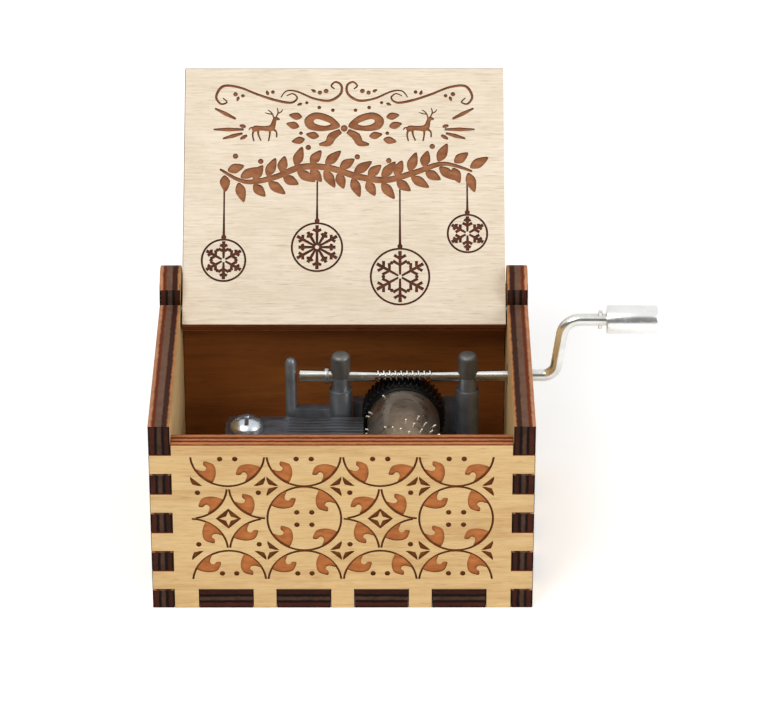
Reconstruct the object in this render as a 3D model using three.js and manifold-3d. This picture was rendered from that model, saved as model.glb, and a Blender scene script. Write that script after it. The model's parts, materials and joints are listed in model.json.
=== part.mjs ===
// Hand-cranked wooden music box: a finger-jointed plywood case with a tilting lid, and inside it
// an eighteen-note movement whose cylinder is turned by a worm on the crank's wire.
// Millimetres, +Z up. The origin is the centre of the case's underside, +X is the crank's side
// and -Y the front.

import * as THREE from 'three';
import { mergeVertices } from 'three/addons/utils/BufferGeometryUtils.js';
import Module from 'manifold-3d';

const wasm = await Module();
wasm.setup();

// ---------- driving dimensions ----------

// Case
const CASE_WIDTH = 64;
const CASE_DEPTH = 52;
const PLY = 3.6; // thickness of every wooden panel
const KERF = 0.04; // air left on each side of a finger joint
const FRONT_TOP = 31.6; // the front panel is lower than the sides, so that the closed lid lies on it
const SIDE_TOP = 35.2;
const EAR_TOP = 40.1; // the ears rise behind the sides, either side of the lid, and are half round
const EAR_DEPTH = 9.5;
const CORNER_FINGER = 3.73; // height of a finger on the upright corners
const CORNER_FINGERS = 7; // fingers and gaps above the bottom panel
const TAB_WIDTH = 9.05; // tabs round the bottom panel
const TAB_PITCH = 13.07;
const TABS_FRONT = 4;
const TABS_SIDE = 3;

// Lid and its hinge
const LID_WIDTH = 56.3;
const LID_LENGTH = 47.5;
const LID_OVERHANG = 3.2; // from the hinge axis to the lid's rear edge
const LID_LEAN = 45; // degrees back from upright, where the open lid meets the back panel
const HINGE_Y = 18;
const HINGE_Z = 33.5;
const HINGE_PIN_R = 1;
const HINGE_PIN_IN_LID = 5;

// Crank, all turned from one wire
const SHAFT_Y = 10;
const SHAFT_Z = 25;
const WIRE_R = 1.05;
const SHAFT_LEFT = -7.75;
const CRANK_RADIUS = 10.9; // from the shaft to the knob's axis
const CRANK_BEND_X = 34.6; // where the wire leaves the shaft's line
const CRANK_LOWER_BEND = 2.3;
const CRANK_UPPER_BEND = 3;
const CRANK_SLANT = 8; // degrees that the rising arm leans outwards
const KNOB_START = 45.3;
const KNOB_LENGTH = 8.8;
const KNOB_R = 2.5;
const LUG = { x: [43.9, 44.6], y: [-0.45, 0.45], z: [-1.65, 1.65] }; // swaged ears before the knob
const WIRE_HEAD = { r: 1.55, thick: 0.6, recess: 0.8 }; // the peened end that keeps the knob on
const RING = { from: -3.3, to: -2.6, r: 1.5 };
const RUNNING_GAP = 0.06; // radial clearance of every pin or shaft that turns in a hole
const FIXED_GAP = 0.03; // the same where a pin or screw is tight
const SHAFT_HOLE_R = 2;

// Worm and wheel
const WORM_PITCH = 1;
const WORM_TURNS = 10;
const WORM_ROOT_R = 0.6;
const GEAR_TEETH = 44;
const GEAR_OUTER_R = 7.22;
const GEAR_ROOT_R = 6.78;
// One tooth's corners: radius, and place from its middle in pitches.
const TOOTH_PROFILE = [
  [GEAR_ROOT_R, -0.26],
  [GEAR_OUTER_R, -0.12],
  [GEAR_OUTER_R, 0.12],
  [GEAR_ROOT_R, 0.26],
];
const THREAD_CREST = 0.1; // half-widths of the worm's thread, also in pitches
const THREAD_BASE = 0.27;
const GEAR_X = 10.4;
const CENTRE_DISTANCE = 7.9;
const GEAR_FRONT = 8.1;
const GEAR_BACK = 12.3;
const GEAR_BOSS_R = 6.5;

// Cylinder and comb
const DRUM_FRONT = -11.4;
const DRUM_BACK = 7.4;
const DRUM_R = 6.3;
const DRUM_WALL = 0.5;
const PIN_HEIGHT = 0.45;
const PIN_R = 0.2;
const PIN_ROOT = 0.3; // how far a pin is let into the drum
const PIN_COUNT = 66;
const END_PLATE = 1.4;
const ARBOR_R = 1;
const TINES = 18;
const TINE_PITCH = 1.03;
const TINE_WIDTH = 0.78;
const COMB_Y = -1.9; // middle of the tines
const COMB_LEFT = -20;
const COMB_ROOT = -9.5; // where the tines start
const COMB_TIP = 3.42;
const COMB_Z = 17.2;
const COMB_HALF = (TINES * TINE_PITCH) / 2 + 0.1;
const COMB_THICK = 1;
const COMB_SCREW_X = -16.7;
const COMB_SCREW_Y = [3, -8];
const COMB_SCREW_HEAD_R = 2.85;
const COMB_SCREW_R = 1;

// Cast frame
const FRAME_BOX = { x: [-21, 23.6], y: [-14.2, 14.8] };
const FRAME_FLOOR = 2.2; // thickness of the casting's base
const POST_X = [-0.55, 21.5];
const POST_R = 1.65;
const POST_FOOT_R = 2;
const POST_FOOT_TOP = 22.3;
const CAP_TOP = 29.2;
const THRUST_X = -9.2;
const THRUST_R = 1;
const THRUST_TOP = 28.4;
const WALL_THICK = 1.9;
const WALL_TOP = 18.7; // of the web from the thrust post to the left post
const BACK_WALL = { x: [1.5, 19.6], top: 18.2 };
const FRONT_WALL_X = [4, 17];
const LUG_R = 3.2; // round bearing bosses of the two walls
const COMB_SEAT_X = [-20.5, -11];
const COMB_SCREW_FROM = 12;
const SCREW_BOSS_R = 2.6;
const SCREW_BOSS_HEIGHT = 3.6;
const FRAME_WINDOW = { x: [6.2, 14.6], y: [-9, 9.5] }; // opening in the base under the cylinder
const MOUNTING_SCREWS = [[-14.5, -2.5], [20.6, -10], [20.6, 4.5]]; // from below, through the bottom panel
const MOUNTING_SCREW = { r: 1.1, head: 2.3, length: 8 };

// ---------- helpers ----------

const GEAR_Z = SHAFT_Z - CENTRE_DISTANCE;
const deg = (angle) => (angle * Math.PI) / 180;
const steel = { roughness: 0.3, metalness: 0.9 };

function solid(geometry) {
  const bare = geometry.clone();
  bare.deleteAttribute('normal');
  bare.deleteAttribute('uv');
  const merged = mergeVertices(bare, 1e-5);
  const mesh = new wasm.Mesh({
    numProp: 3,
    vertProperties: new Float32Array(merged.attributes.position.array),
    triVerts: new Uint32Array(merged.index.array),
  });
  return new wasm.Manifold(mesh);
}

function geometryOf(manifold) {
  const mesh = manifold.getMesh();
  const geometry = new THREE.BufferGeometry();
  geometry.setAttribute('position', new THREE.BufferAttribute(mesh.vertProperties, 3));
  geometry.setIndex(new THREE.BufferAttribute(mesh.triVerts, 1));
  return geometry;
}

function join(...geometries) {
  return geometryOf(geometries.map(solid).reduce((sum, piece) => sum.add(piece)));
}

function cut(geometry, ...tools) {
  return geometryOf(tools.map(solid).reduce((sum, tool) => sum.subtract(tool), solid(geometry)));
}

function box(x, y, z) {
  const size = [x, y, z].map(([low, high]) => high - low);
  const centre = [x, y, z].map(([low, high]) => (high + low) / 2);
  return new THREE.BoxGeometry(...size).translate(...centre);
}

// A round bar along X, Y or Z; `from` and `to` are its ends on that axis, and the other two
// coordinates of its centre line are given in X, Y, Z order.
function bar(axis, radius, from, to, first, second, sides = 20) {
  const geometry = new THREE.CylinderGeometry(radius, radius, to - from, sides);
  const middle = (from + to) / 2;
  if (axis === 'x') {
    return geometry.rotateZ(-Math.PI / 2).translate(middle, first, second);
  }
  if (axis === 'y') {
    return geometry.translate(first, middle, second);
  }
  return geometry.rotateX(Math.PI / 2).translate(first, second, middle);
}

// A turned piece: [radius, height] pairs about Z, starting and ending on the axis.
function turned(profile, x, y, sides = 16) {
  const points = profile.map(([radius, height]) => new THREE.Vector2(radius, height));
  return new THREE.LatheGeometry(points, sides).rotateX(Math.PI / 2).translate(x, y, 0);
}

function plate(points, thickness, holes = []) {
  const shape = new THREE.Shape(points.map(([x, y]) => new THREE.Vector2(x, y)));
  for (const { x, y, r } of holes) {
    shape.holes.push(new THREE.Path().absarc(x, y, r, 0, 2 * Math.PI, true));
  }
  return new THREE.ExtrudeGeometry(shape, { depth: thickness, bevelEnabled: false, curveSegments: 10 });
}

const music_box = new THREE.Group();

function add(parent, name, geometry, color, finish) {
  const mesh = new THREE.Mesh(geometry, new THREE.MeshStandardMaterial({ color, ...finish }));
  mesh.name = name;
  parent.add(mesh);
}

// ---------- wooden case ----------

const WOOD = '#dec08c';
const wood = { roughness: 0.7, metalness: 0 };
const HALF_W = CASE_WIDTH / 2;
const HALF_D = CASE_DEPTH / 2;
const INNER_W = HALF_W - PLY;
const INNER_D = HALF_D - PLY;

// Centres of the bottom panel's tabs along one edge.
function tabCentres(count) {
  return Array.from({ length: count }, (_, i) => (i - (count - 1) / 2) * TAB_PITCH);
}

// Heights of the fingers that a corner's panels have in turn: the side panel has the lowest one,
// every second one above it and all that stands higher than the last.
function fingerSpans(first) {
  const spans = [];
  for (let step = first; step <= CORNER_FINGERS; step += 2) {
    const low = PLY + step * CORNER_FINGER;
    spans.push([low - KERF, step < CORNER_FINGERS ? low + CORNER_FINGER + KERF : EAR_TOP]);
  }
  return spans;
}
const sideFingers = [[-1, PLY + KERF], ...fingerSpans(1)];
const crossFingers = fingerSpans(0);

// Front or back panel, at the side of the case given by the sign of `facing`.
function crossPanel(facing, top) {
  const depth = [facing * HALF_D, facing * INNER_D].sort((a, b) => a - b);
  const past = [depth[0] - 1, depth[1] + 1];
  const tools = tabCentres(TABS_FRONT).map((centre) =>
    box([centre - TAB_WIDTH / 2, centre + TAB_WIDTH / 2], past, [-1, PLY + KERF]));
  for (const span of sideFingers) {
    tools.push(box([INNER_W - KERF, HALF_W + 1], past, span));
    tools.push(box([-HALF_W - 1, -INNER_W + KERF], past, span));
  }
  return cut(box([-HALF_W, HALF_W], depth, [0, top]), ...tools);
}

// Side panel: its ear is half round, and it carries the hinge pin's hole.
function sidePanel(facing) {
  const earRadius = EAR_DEPTH / 2;
  const outline = new THREE.Shape();
  outline.moveTo(-HALF_D, 0);
  outline.lineTo(HALF_D, 0);
  outline.lineTo(HALF_D, EAR_TOP - earRadius);
  outline.absarc(HALF_D - earRadius, EAR_TOP - earRadius, earRadius, 0, Math.PI);
  outline.lineTo(HALF_D - EAR_DEPTH, SIDE_TOP);
  outline.lineTo(-HALF_D, SIDE_TOP);
  const [outer, inner] = [facing * HALF_W, facing * INNER_W];
  const blank = new THREE.ExtrudeGeometry(outline, { depth: PLY, bevelEnabled: false, curveSegments: 14 });
  const [alongY, alongZ, alongX] = [[0, 1, 0], [0, 0, 1], [1, 0, 0]].map((v) => new THREE.Vector3(...v));
  blank.applyMatrix4(new THREE.Matrix4().makeBasis(alongY, alongZ, alongX));
  blank.translate(Math.min(outer, inner), 0, 0);

  const past = [Math.min(outer, inner) - 1, Math.max(outer, inner) + 1];
  const tools = tabCentres(TABS_SIDE).map((centre) =>
    box(past, [centre - TAB_WIDTH / 2, centre + TAB_WIDTH / 2], [-1, PLY + KERF]));
  for (const span of crossFingers) {
    tools.push(box(past, [-HALF_D - 1, -INNER_D + KERF], span));
    tools.push(box(past, [INNER_D - KERF, HALF_D + 1], span));
  }
  tools.push(bar('x', HINGE_PIN_R + RUNNING_GAP, ...past, HINGE_Y, HINGE_Z));
  if (facing > 0) {
    tools.push(bar('x', SHAFT_HOLE_R, ...past, SHAFT_Y, SHAFT_Z));
  }
  return cut(blank, ...tools);
}

function bottomPanel() {
  const half = TAB_WIDTH / 2 - KERF;
  const height = [0, PLY];
  const pieces = [box([KERF - INNER_W, INNER_W - KERF], [KERF - INNER_D, INNER_D - KERF], height)];
  for (const centre of tabCentres(TABS_FRONT)) {
    pieces.push(box([centre - half, centre + half], [-HALF_D, HALF_D], height));
  }
  for (const centre of tabCentres(TABS_SIDE)) {
    pieces.push(box([-HALF_W, HALF_W], [centre - half, centre + half], height));
  }
  const slack = 0.1; // round the countersunk heads
  const { r, head } = MOUNTING_SCREW;
  const holes = MOUNTING_SCREWS.map(([x, y]) => turned([
    [0, -1], [head + slack, -1], [head + slack, slack], [r + slack, head - r + slack],
    [r + slack, PLY + 1], [0, PLY + 1],
  ], x, y));
  return cut(join(...pieces), ...holes);
}

const wooden_case = new THREE.Group();
music_box.add(wooden_case);
add(wooden_case, 'front_panel', crossPanel(-1, FRONT_TOP), WOOD, wood);
add(wooden_case, 'back_panel', crossPanel(1, SIDE_TOP), WOOD, wood);
add(wooden_case, 'left_side_panel', sidePanel(-1), WOOD, wood);
add(wooden_case, 'right_side_panel', sidePanel(1), WOOD, wood);
add(wooden_case, 'bottom_panel', bottomPanel(), WOOD, wood);

// ---------- lid, drawn closed about its hinge axis and then leaned back ----------

const lid_hinge = new THREE.Group();
lid_hinge.position.set(0, HINGE_Y, HINGE_Z);
lid_hinge.rotation.x = deg(LID_LEAN - 180);
music_box.add(lid_hinge);

const pinInner = LID_WIDTH / 2 - HINGE_PIN_IN_LID;
const pinOuter = HALF_W - 0.3;
const lidBlank = box(
  [-LID_WIDTH / 2, LID_WIDTH / 2],
  [LID_OVERHANG - LID_LENGTH, LID_OVERHANG],
  [-PLY / 2, PLY / 2],
);
const pinSocket = (from, to) => bar('x', HINGE_PIN_R + FIXED_GAP, from, to, 0, 0);
add(lid_hinge, 'lid', cut(
  lidBlank,
  pinSocket(pinInner - 0.3, LID_WIDTH),
  pinSocket(-LID_WIDTH, 0.3 - pinInner),
), '#e2d2b7', wood);
add(lid_hinge, 'hinge_pin_left', bar('x', HINGE_PIN_R, -pinOuter, -pinInner, 0, 0), '#b9b9b6', steel);
add(lid_hinge, 'hinge_pin_right', bar('x', HINGE_PIN_R, pinInner, pinOuter, 0, 0), '#b9b9b6', steel);

// ---------- cast frame, comb and caps ----------

const ZINC = '#4b4e52';
const zinc = { roughness: 0.55, metalness: 0.8 };
const [frameLeft, frameRight] = FRAME_BOX.x;
const [frameFront, frameBack] = FRAME_BOX.y;
const FLOOR_Z = PLY;
const FLOOR_TOP = PLY + FRAME_FLOOR;

function movementFrame() {
  const low = FLOOR_TOP - 0.5; // everything that stands on the base reaches a little into it
  const frontWall = [frameFront, frameFront + WALL_THICK];
  const backWall = [frameBack - WALL_THICK, frameBack];
  const thrustPost = [
    [0, low], [THRUST_R, low], [THRUST_R, THRUST_TOP - 0.8], [0.7, THRUST_TOP - 0.2], [0, THRUST_TOP],
  ];
  const pieces = [
    box([frameLeft, frameRight], [frameFront, frameBack], [FLOOR_Z, FLOOR_TOP]),
    box(COMB_SEAT_X, [COMB_Y - COMB_HALF, COMB_Y + COMB_HALF], [low, COMB_Z]),
    box(FRONT_WALL_X, frontWall, [low, GEAR_Z]),
    bar('y', LUG_R, ...frontWall, GEAR_X, GEAR_Z),
    box(BACK_WALL.x, backWall, [low, BACK_WALL.top]),
    bar('y', LUG_R, ...backWall, GEAR_X, GEAR_Z),
    box([THRUST_X, POST_X[0]], [SHAFT_Y - THRUST_R + 0.1, SHAFT_Y + THRUST_R - 0.1], [low, WALL_TOP]),
    turned(thrustPost, THRUST_X, SHAFT_Y),
  ];
  for (const x of POST_X) {
    pieces.push(bar('z', POST_FOOT_R, low, POST_FOOT_TOP, x, SHAFT_Y));
    pieces.push(bar('z', POST_R, low, SHAFT_Z - 0.08, x, SHAFT_Y));
  }
  for (const [x, y] of MOUNTING_SCREWS) {
    pieces.push(bar('z', SCREW_BOSS_R, low, FLOOR_TOP + SCREW_BOSS_HEIGHT, x, y));
  }
  const tools = [
    bar('x', WIRE_R + RUNNING_GAP, POST_X[0] - 4, POST_X[1] + 4, SHAFT_Y, SHAFT_Z),
    bar('y', ARBOR_R + RUNNING_GAP, frameFront - 1, frameBack + 1, GEAR_X, GEAR_Z),
    box(FRAME_WINDOW.x, FRAME_WINDOW.y, [FLOOR_Z - 1, FLOOR_TOP + 1]),
    ...COMB_SCREW_Y.map((y) =>
      bar('z', COMB_SCREW_R + FIXED_GAP, COMB_SCREW_FROM - 0.5, COMB_Z + 1, COMB_SCREW_X, y)),
    ...MOUNTING_SCREWS.map(([x, y]) =>
      bar('z', MOUNTING_SCREW.r + FIXED_GAP, FLOOR_Z - 1, MOUNTING_SCREW.length + 0.5, x, y)),
  ];
  return cut(join(...pieces), ...tools);
}

function comb() {
  const points = [[COMB_LEFT, COMB_Y - COMB_HALF], [COMB_ROOT, COMB_Y - COMB_HALF]];
  for (let tine = 0; tine < TINES; tine += 1) {
    const [low, high] = [-1, 1].map((side) => tineY(tine) + (side * TINE_WIDTH) / 2);
    points.push([COMB_ROOT, low], [COMB_TIP, low], [COMB_TIP, high], [COMB_ROOT, high]);
  }
  points.push([COMB_ROOT, COMB_Y + COMB_HALF], [COMB_LEFT, COMB_Y + COMB_HALF]);
  const holes = COMB_SCREW_Y.map((y) => ({ x: COMB_SCREW_X, y, r: COMB_SCREW_R + 0.2 }));
  return plate(points, COMB_THICK, holes).translate(0, 0, COMB_Z);
}

function tineY(tine) {
  return COMB_Y + (tine - (TINES - 1) / 2) * TINE_PITCH;
}

function combScrew(y) {
  const seat = COMB_Z + COMB_THICK;
  const head = turned([
    [0, COMB_SCREW_FROM], [COMB_SCREW_R, COMB_SCREW_FROM], [COMB_SCREW_R, seat],
    [COMB_SCREW_HEAD_R, seat], [COMB_SCREW_HEAD_R, seat + 1.2],
    [2.4, seat + 1.85], [1.3, seat + 2.3], [0, seat + 2.45],
  ], COMB_SCREW_X, y);
  const slot = box([COMB_SCREW_X - 3, COMB_SCREW_X + 3], [y - 0.35, y + 0.35], [seat + 1.6, seat + 3]);
  return cut(head, slot);
}

function bearingCap(x) {
  const body = bar('z', POST_R + 0.05, SHAFT_Z, CAP_TOP, x, SHAFT_Y);
  return cut(body, bar('x', WIRE_R + RUNNING_GAP, x - 3, x + 3, SHAFT_Y, SHAFT_Z));
}

function mountingScrew([x, y]) {
  const { r, head, length } = MOUNTING_SCREW;
  const sunk = 0.1; // the head stays clear of what the case stands on
  return turned([[0, sunk], [head, sunk], [r, head - r + sunk], [r, length], [0, length]], x, y);
}

const movement = new THREE.Group();
music_box.add(movement);
add(movement, 'movement_frame', movementFrame(), ZINC, zinc);
add(movement, 'comb', comb(), '#3b3e42', steel);
add(movement, 'comb_screw_rear', combScrew(COMB_SCREW_Y[0]), '#c9cbcc', steel);
add(movement, 'comb_screw_front', combScrew(COMB_SCREW_Y[1]), '#c9cbcc', steel);
add(movement, 'bearing_cap_left', bearingCap(POST_X[0]), '#6e6e6c', zinc);
add(movement, 'bearing_cap_right', bearingCap(POST_X[1]), '#6e6e6c', zinc);
MOUNTING_SCREWS.forEach((place, i) => {
  add(movement, `mounting_screw_${i + 1}`, mountingScrew(place), '#9d9fa0', steel);
});

// ---------- pinned cylinder and its gear ----------

// A ring about the cylinder's axis.
function ring(inner, outer, from, to, sides) {
  const profile = [[inner, from], [outer, from], [outer, to], [inner, to], [inner, from]];
  const points = profile.map(([radius, height]) => new THREE.Vector2(radius, height));
  return new THREE.LatheGeometry(points, sides).translate(GEAR_X, 0, GEAR_Z);
}

function pinnedDrum() {
  const goldenAngle = Math.PI * (3 - Math.sqrt(5)); // scatters the pins like the notes of a tune
  const pins = Array.from({ length: PIN_COUNT }, (_, i) => {
    const pin = new THREE.CylinderGeometry(PIN_R, PIN_R, PIN_HEIGHT + PIN_ROOT, 5);
    pin.translate(0, DRUM_R + (PIN_HEIGHT - PIN_ROOT) / 2, 0).rotateX(Math.PI / 2);
    return pin.rotateY(i * goldenAngle).translate(GEAR_X, tineY((i * 7) % TINES), GEAR_Z);
  });
  return join(ring(DRUM_R - DRUM_WALL, DRUM_R, DRUM_FRONT, DRUM_BACK, 40), ...pins);
}

function endPlate(from) {
  return ring(ARBOR_R + FIXED_GAP, DRUM_R - DRUM_WALL - FIXED_GAP, from, from + END_PLATE, 32);
}

// The teeth follow the worm's lead, and a gap between two of them faces the worm.
function cylinderGear() {
  const pitchAngle = (2 * Math.PI) / GEAR_TEETH;
  const points = [];
  for (let tooth = 0; tooth < GEAR_TEETH; tooth += 1) {
    const middle = (tooth + 0.5) * pitchAngle;
    for (const [radius, offset] of TOOTH_PROFILE) {
      const angle = middle + offset * pitchAngle;
      points.push(new THREE.Vector2(radius * Math.cos(angle), radius * Math.sin(angle)));
    }
  }
  const width = GEAR_BACK - GEAR_FRONT;
  const outline = new THREE.Shape(points);
  const teeth = new THREE.ExtrudeGeometry(outline, { depth: width, steps: 2, bevelEnabled: false });
  teeth.rotateX(-Math.PI / 2).translate(0, GEAR_FRONT, 0);
  const meanRadius = (WIRE_R + WORM_ROOT_R) / 2;
  const slope = WORM_PITCH / (2 * Math.PI * meanRadius);
  const twistPerMm = slope / GEAR_OUTER_R;
  const place = teeth.attributes.position;
  for (let i = 0; i < place.count; i += 1) {
    const twist = twistPerMm * (place.getY(i) - SHAFT_Y);
    const [x, z] = [place.getX(i), place.getZ(i)];
    place.setX(i, x * Math.cos(twist) + z * Math.sin(twist));
    place.setZ(i, z * Math.cos(twist) - x * Math.sin(twist));
  }
  teeth.translate(GEAR_X, 0, GEAR_Z);
  const boss = bar('y', GEAR_BOSS_R, DRUM_BACK + 0.1, GEAR_FRONT + 0.2, GEAR_X, GEAR_Z, 40);
  const bore = bar('y', ARBOR_R + FIXED_GAP, DRUM_BACK - 1, GEAR_BACK + 1, GEAR_X, GEAR_Z);
  return cut(join(teeth, boss), bore);
}

const cylinder = new THREE.Group();
music_box.add(cylinder);
add(cylinder, 'cylinder_drum', pinnedDrum(), '#9c8f80', { roughness: 0.35, metalness: 0.9 });
add(cylinder, 'drum_end_plate_front', endPlate(DRUM_FRONT + 0.3), '#1c1c1e', wood);
add(cylinder, 'drum_end_plate_rear', endPlate(DRUM_BACK - 0.3 - END_PLATE), '#1c1c1e', wood);
const arbor = bar('y', ARBOR_R, frameFront - 0.4, frameBack + 0.4, GEAR_X, GEAR_Z);
add(cylinder, 'cylinder_arbor', arbor, '#b9b9b6', steel);
add(cylinder, 'cylinder_gear', cylinderGear(), '#141416', { roughness: 0.45, metalness: 0 });

// ---------- crank ----------

// The wire's rolled worm. Its radius depends only on the place along the thread, whose crest
// passes the gear's middle at the bottom of the wire.
function worm(from, to) {
  const samples = 8; // along each pitch
  const sides = 12;
  const length = to - from;
  const steps = Math.round((length / WORM_PITCH) * samples);
  const geometry = new THREE.CylinderGeometry(1, 1, length, sides, steps).rotateZ(-Math.PI / 2);
  geometry.translate((from + to) / 2, 0, 0);
  const place = geometry.attributes.position;
  for (let i = 0; i < place.count; i += 1) {
    const [x, y, z] = [place.getX(i), place.getY(i), place.getZ(i)];
    if (Math.hypot(y, z) > 0.5) {
      const turn = (Math.atan2(z, y) + Math.PI / 2) / (2 * Math.PI);
      const along = (x - GEAR_X) / WORM_PITCH - turn;
      const fromCrest = Math.abs(along - Math.round(along));
      const depth = THREE.MathUtils.smoothstep(fromCrest, THREAD_CREST, THREAD_BASE);
      const radius = THREE.MathUtils.lerp(WIRE_R, WORM_ROOT_R, depth);
      place.setXYZ(i, x, y * radius, z * radius);
    }
  }
  return geometry.translate(0, SHAFT_Y, SHAFT_Z);
}

// The bent part of the wire: out of the case, up the slanting arm and along the knob's axis.
function bentWire(from, to) {
  const slant = deg(90 - CRANK_SLANT);
  const tangentLow = CRANK_LOWER_BEND * Math.tan(slant / 2);
  const tangentHigh = CRANK_UPPER_BEND * Math.tan(slant / 2);
  const low = new THREE.Vector3(CRANK_BEND_X + tangentLow, SHAFT_Y, SHAFT_Z);
  const run = CRANK_RADIUS / Math.tan(slant);
  const high = new THREE.Vector3(low.x + run, SHAFT_Y, SHAFT_Z + CRANK_RADIUS);
  const out = new THREE.Vector3(1, 0, 0);
  const up = high.clone().sub(low).normalize();
  const at = (corner, way, distance) => corner.clone().addScaledVector(way, distance);
  const bend = (corner, before, after, tangent) => {
    const weight = tangent * 0.55; // handle length of a cubic that follows a nearly square bend
    return new THREE.CubicBezierCurve3(
      at(corner, before, -tangent), at(corner, before, weight - tangent),
      at(corner, after, tangent - weight), at(corner, after, tangent),
    );
  };
  const path = new THREE.CurvePath();
  path.add(new THREE.LineCurve3(new THREE.Vector3(from, SHAFT_Y, SHAFT_Z), at(low, out, -tangentLow)));
  path.add(bend(low, out, up, tangentLow));
  path.add(new THREE.LineCurve3(at(low, up, tangentLow), at(high, up, -tangentHigh)));
  path.add(bend(high, up, out, tangentHigh));
  path.add(new THREE.LineCurve3(at(high, out, tangentHigh), new THREE.Vector3(to, SHAFT_Y, high.z)));
  const section = new THREE.Shape().absarc(0, 0, WIRE_R, 0, 2 * Math.PI);
  const options = { steps: 48, curveSegments: 6, bevelEnabled: false, extrudePath: path };
  return new THREE.ExtrudeGeometry(section, options);
}

const KNOB_Z = SHAFT_Z + CRANK_RADIUS;
const KNOB_END = KNOB_START + KNOB_LENGTH;
const headFrom = KNOB_END - WIRE_HEAD.recess + 0.05;
const wormFrom = GEAR_X - (WORM_TURNS / 2) * WORM_PITCH;
const wormTo = GEAR_X + (WORM_TURNS / 2) * WORM_PITCH;

function crankShaft() {
  const lug = box(
    LUG.x,
    LUG.y.map((offset) => SHAFT_Y + offset),
    LUG.z.map((offset) => KNOB_Z + offset),
  );
  return join(
    bar('x', WIRE_R, SHAFT_LEFT, wormFrom, SHAFT_Y, SHAFT_Z),
    worm(wormFrom - 0.1, wormTo + 0.1),
    bar('x', WIRE_R, wormTo, CASE_WIDTH / 2, SHAFT_Y, SHAFT_Z),
    bentWire(CASE_WIDTH / 2 - 1, headFrom + 0.1),
    lug,
    bar('x', WIRE_HEAD.r, headFrom, headFrom + WIRE_HEAD.thick, SHAFT_Y, KNOB_Z),
  );
}

function retainingRing() {
  const body = bar('x', RING.r, RING.from, RING.to, SHAFT_Y, SHAFT_Z);
  const hole = bar('x', WIRE_R + FIXED_GAP, RING.from - 1, RING.to + 1, SHAFT_Y, SHAFT_Z);
  const mouth = box([RING.from - 1, RING.to + 1], [SHAFT_Y - 0.6, SHAFT_Y + 0.6], [SHAFT_Z - 3, SHAFT_Z]);
  return cut(body, hole, mouth);
}

function crankKnob() {
  const body = bar('x', KNOB_R, KNOB_START, KNOB_END, SHAFT_Y, KNOB_Z, 32);
  const bore = bar('x', WIRE_R + RUNNING_GAP, KNOB_START - 1, KNOB_END + 1, SHAFT_Y, KNOB_Z);
  const recess = bar('x', WIRE_HEAD.r + 0.15, KNOB_END - WIRE_HEAD.recess, KNOB_END + 1, SHAFT_Y, KNOB_Z);
  return cut(body, bore, recess);
}

const crank = new THREE.Group();
music_box.add(crank);
add(crank, 'crank_shaft', crankShaft(), '#d0d0ce', { roughness: 0.2, metalness: 1 });
add(crank, 'retaining_ring', retainingRing(), '#c4c4c2', steel);
add(crank, 'crank_knob', crankKnob(), '#d8d8d6', { roughness: 0.15, metalness: 1 });

export default music_box;
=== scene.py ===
"""Hand-cranked wooden music box: laser-cut plywood case and lid with engraved ornament, and the
pinned-cylinder movement inside. Pieces are modelled in millimetres and scaled to metres as they
are finished; the frame, its sizes and its joints are in metres."""

import json
import math

import bpy
from mathutils import Matrix, Vector


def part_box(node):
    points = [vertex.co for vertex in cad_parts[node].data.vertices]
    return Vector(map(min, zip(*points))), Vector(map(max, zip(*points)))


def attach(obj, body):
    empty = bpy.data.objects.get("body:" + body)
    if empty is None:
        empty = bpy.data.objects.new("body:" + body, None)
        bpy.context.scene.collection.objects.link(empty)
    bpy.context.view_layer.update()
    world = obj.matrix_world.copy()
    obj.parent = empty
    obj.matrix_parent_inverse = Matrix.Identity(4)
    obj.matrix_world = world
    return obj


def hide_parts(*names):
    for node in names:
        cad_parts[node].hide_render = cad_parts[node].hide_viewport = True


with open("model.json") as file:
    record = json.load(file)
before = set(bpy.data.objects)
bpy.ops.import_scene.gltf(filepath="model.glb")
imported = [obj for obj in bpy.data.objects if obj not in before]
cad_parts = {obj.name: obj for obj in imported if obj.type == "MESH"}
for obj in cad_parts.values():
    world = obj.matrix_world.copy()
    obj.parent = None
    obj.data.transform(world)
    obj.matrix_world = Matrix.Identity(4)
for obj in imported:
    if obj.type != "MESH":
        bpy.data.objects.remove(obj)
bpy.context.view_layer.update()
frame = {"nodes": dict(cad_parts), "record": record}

MM = 0.001
JOINTS = {joint["name"]: joint for joint in frame["record"]["behaviour"]["joints"]}


def millimetres(metres):
    return [value / MM for value in metres]


def node_box(name):
    """Lowest and highest corner of a node, in millimetres."""
    low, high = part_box(name)
    return Vector(millimetres(low)), Vector(millimetres(high))


# ---------- sizes read from the frame ----------

FRONT_LOW, FRONT_HIGH = node_box("front_panel")
_, SIDE_HIGH = node_box("right_side_panel")
PLY = FRONT_HIGH.y - FRONT_LOW.y
HALF_W = FRONT_HIGH.x
HALF_D = SIDE_HIGH.y
HINGE = Vector(millimetres(JOINTS["lid_hinge"]["pos_m"]))
SHAFT = Vector(millimetres(JOINTS["crank_turn"]["pos_m"]))
DRUM_AXIS = Vector(millimetres(JOINTS["cylinder_turn"]["pos_m"]))
KNOB_AXIS = Vector(millimetres(JOINTS["knob_spin"]["pos_m"]))


# ---------- modelling helpers ----------

def deselect():
    if bpy.context.object and bpy.context.object.mode != "OBJECT":
        bpy.ops.object.mode_set(mode="OBJECT")
    bpy.ops.object.select_all(action="DESELECT")


def choose(piece):
    deselect()
    piece.select_set(True)
    bpy.context.view_layer.objects.active = piece


def edit(piece, *steps):
    """Runs edit-mode operators on the whole of a piece."""
    choose(piece)
    bpy.ops.object.mode_set(mode="EDIT")
    bpy.ops.mesh.select_mode(type="VERT")
    bpy.ops.mesh.select_all(action="SELECT")
    for step in steps:
        step()
    bpy.ops.object.mode_set(mode="OBJECT")


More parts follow.
